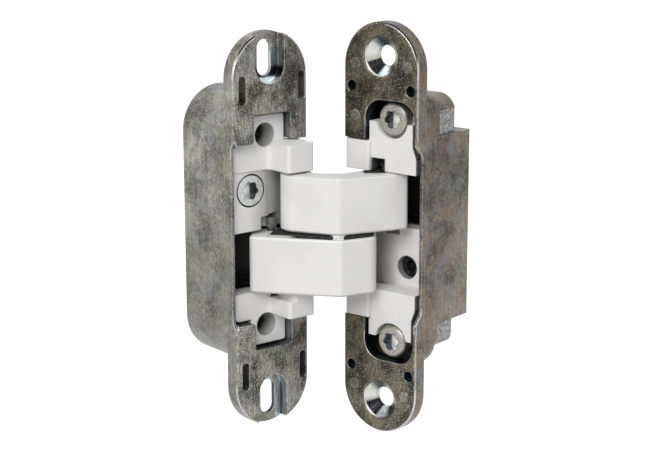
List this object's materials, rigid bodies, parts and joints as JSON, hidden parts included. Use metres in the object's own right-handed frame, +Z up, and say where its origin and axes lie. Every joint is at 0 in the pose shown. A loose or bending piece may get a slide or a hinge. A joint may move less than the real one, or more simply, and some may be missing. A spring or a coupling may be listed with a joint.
{
  "type": "concealed hinge",
  "caption": "Concealed door hinge with two mortised leaves, pocketed casings and a pair of crossed white arms that fold away as the door closes.",
  "frame": {"origin": "centre of the frame plate's front face", "axes": "+Z up along both plates, -Y out of the frame plate's front face, +X along the frame plate towards its knuckle edge"},
  "size_m": [0.0609, 0.0536, 0.111],
  "materials": {
    "zinc_casting": "raw zinc die casting with a mottled passivated coat",
    "white_coat": "satin white powder coat",
    "bright_zinc": "bright zinc plate",
    "black_steel": "black oxide",
    "bronze": "turned bearing bronze",
    "slide_plastic": "moulded low-friction plastic"
  },
  "bodies": {
    "frame_half": {"frame_casing": "zinc_casting"},
    "frame_carrier": {"frame_insert": "white_coat", "frame_clamp_screw_upper": "bright_zinc", "frame_clamp_screw_lower": "bright_zinc", "frame_pivot_pin": "bright_zinc", "frame_pivot_washer": "slide_plastic"},
    "side_adjuster": {"frame_side_screw": "bright_zinc"},
    "upper_link": {"upper_arm": "white_coat", "frame_pivot_bush": "bronze", "door_slide_pin": "bright_zinc", "door_slide_sleeve": "slide_plastic"},
    "lower_link": {"lower_arm": "white_coat", "centre_pin": "bright_zinc", "centre_washer": "bright_zinc", "centre_spacer": "slide_plastic", "door_pivot_bush": "bronze", "frame_slide_pin": "bright_zinc", "frame_slide_sleeve_upper": "slide_plastic", "frame_slide_sleeve_lower": "slide_plastic"},
    "door_half": {"door_casing": "zinc_casting", "door_insert": "white_coat", "door_clamp_screw_upper": "bright_zinc", "door_clamp_screw_lower": "bright_zinc", "door_set_screw": "black_steel", "door_pivot_pin": "bright_zinc", "door_pivot_washer": "slide_plastic"}
  },
  "joints": [
    {"name": "side_adjust", "type": "slide", "parent": "frame_half", "child": "frame_carrier", "axis": [0, -1, 0], "range_m": [-0.0008, 0.0008]},
    {"name": "side_screw_turn", "type": "hinge", "parent": "frame_carrier", "child": "side_adjuster", "pos_m": [-0.0046, 0.01, 0.0113], "axis": [0, -1, 0], "range_deg": [-361, 361]},
    {"name": "frame_pivot", "type": "hinge", "parent": "frame_carrier", "child": "upper_link", "pos_m": [0.0066, -0.0018, 0], "axis": [0, 0, 1], "range_deg": [-77.33, 57.67]},
    {"name": "centre_pivot", "type": "hinge", "parent": "upper_link", "child": "lower_link", "pos_m": [0.01086, -0.01454, 0], "axis": [0, 0, 1], "range_deg": [-31.58, 42.32]},
    {"name": "door_pivot", "type": "hinge", "parent": "lower_link", "child": "door_half", "pos_m": [0.02316, -0.009, 0], "axis": [0, 0, 1], "range_deg": [-68.1, 50.8]}
  ],
  "couplings": [
    {"joint": "side_screw_turn", "follows": "side_adjust", "rad_per_m": 7854},
    {"joint": "centre_pivot", "follows": "frame_pivot", "ratio": -0.54667},
    {"joint": "door_pivot", "follows": "frame_pivot", "ratio": 0.88}
  ]
}
